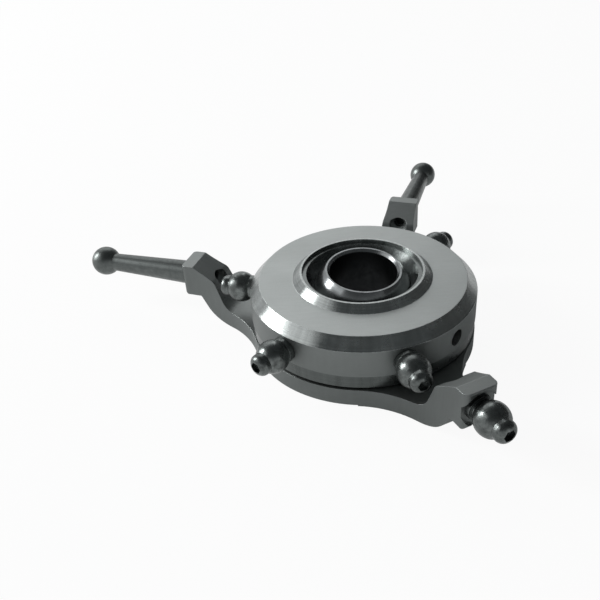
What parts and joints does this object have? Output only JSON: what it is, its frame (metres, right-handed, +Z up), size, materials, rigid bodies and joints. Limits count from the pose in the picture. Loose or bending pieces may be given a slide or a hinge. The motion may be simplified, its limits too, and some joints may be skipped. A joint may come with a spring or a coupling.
{
  "type": "helicopter swashplate",
  "caption": "Helicopter swashplate: a rotating ring with side link balls on a bearing over a fixed three-armed plate, both tilting on a bored centre ball.",
  "frame": {"origin": "centre of the pivot ball, on the axis of both plates", "axes": "+Z up along the axis of both plates, +X towards the short arm"},
  "size_m": [0.0692, 0.0688, 0.0128],
  "materials": {
    "satin_aluminium": "satin, bead blasted and clear anodised",
    "polished_aluminium": "turned bright",
    "ball_steel": "polished",
    "screw_steel": "turned",
    "bearing_steel": "ground",
    "shield_steel": "pressed sheet",
    "spring_steel": "blackened",
    "cage_plastic": "moulded",
    "seat_plastic": "turned"
  },
  "bodies": {
    "fixed_plate": {"lower_plate": "satin_aluminium", "bearing_outer_race": "bearing_steel", "bearing_upper_shield": "shield_steel", "bearing_lower_shield": "shield_steel", "short_arm_ball": "ball_steel", "short_arm_screw": "screw_steel", "long_pin_left": "ball_steel", "long_pin_right": "ball_steel"},
    "rotating_ring": {"upper_ring": "satin_aluminium", "ball_retainer": "polished_aluminium", "lower_seat_ring": "polished_aluminium", "hub_circlip": "spring_steel", "bearing_inner_race": "bearing_steel", "link_ball_1": "ball_steel", "link_screw_1": "screw_steel", "link_ball_2": "ball_steel", "link_screw_2": "screw_steel", "link_ball_3": "ball_steel", "link_screw_3": "screw_steel", "link_ball_4": "ball_steel", "link_screw_4": "screw_steel"},
    "bearing_ball_set": {"bearing_balls": "bearing_steel", "bearing_cage": "cage_plastic"},
    "seat_band": {"seat_band": "seat_plastic"},
    "centre_ball": {"centre_ball": "ball_steel"}
  },
  "joints": [
    {"name": "rotor_spin", "type": "hinge", "parent": "fixed_plate", "child": "rotating_ring", "pos_m": [0, 0, 0], "axis": [0, 0, 1], "continuous": true},
    {"name": "bearing_roll", "type": "hinge", "parent": "fixed_plate", "child": "bearing_ball_set", "pos_m": [0, 0, 0], "axis": [0, 0, 1], "continuous": true},
    {"name": "ball_roll", "type": "hinge", "parent": "rotating_ring", "child": "seat_band", "pos_m": [0, 0, 0], "axis": [1, 0, 0], "range_deg": [-10, 10]},
    {"name": "ball_pitch", "type": "hinge", "parent": "seat_band", "child": "centre_ball", "pos_m": [0, 0, 0], "axis": [0, 1, 0], "range_deg": [-15.4, 4.6]}
  ],
  "couplings": [
    {"joint": "bearing_roll", "follows": "rotor_spin", "ratio": 0.45745}
  ]
}
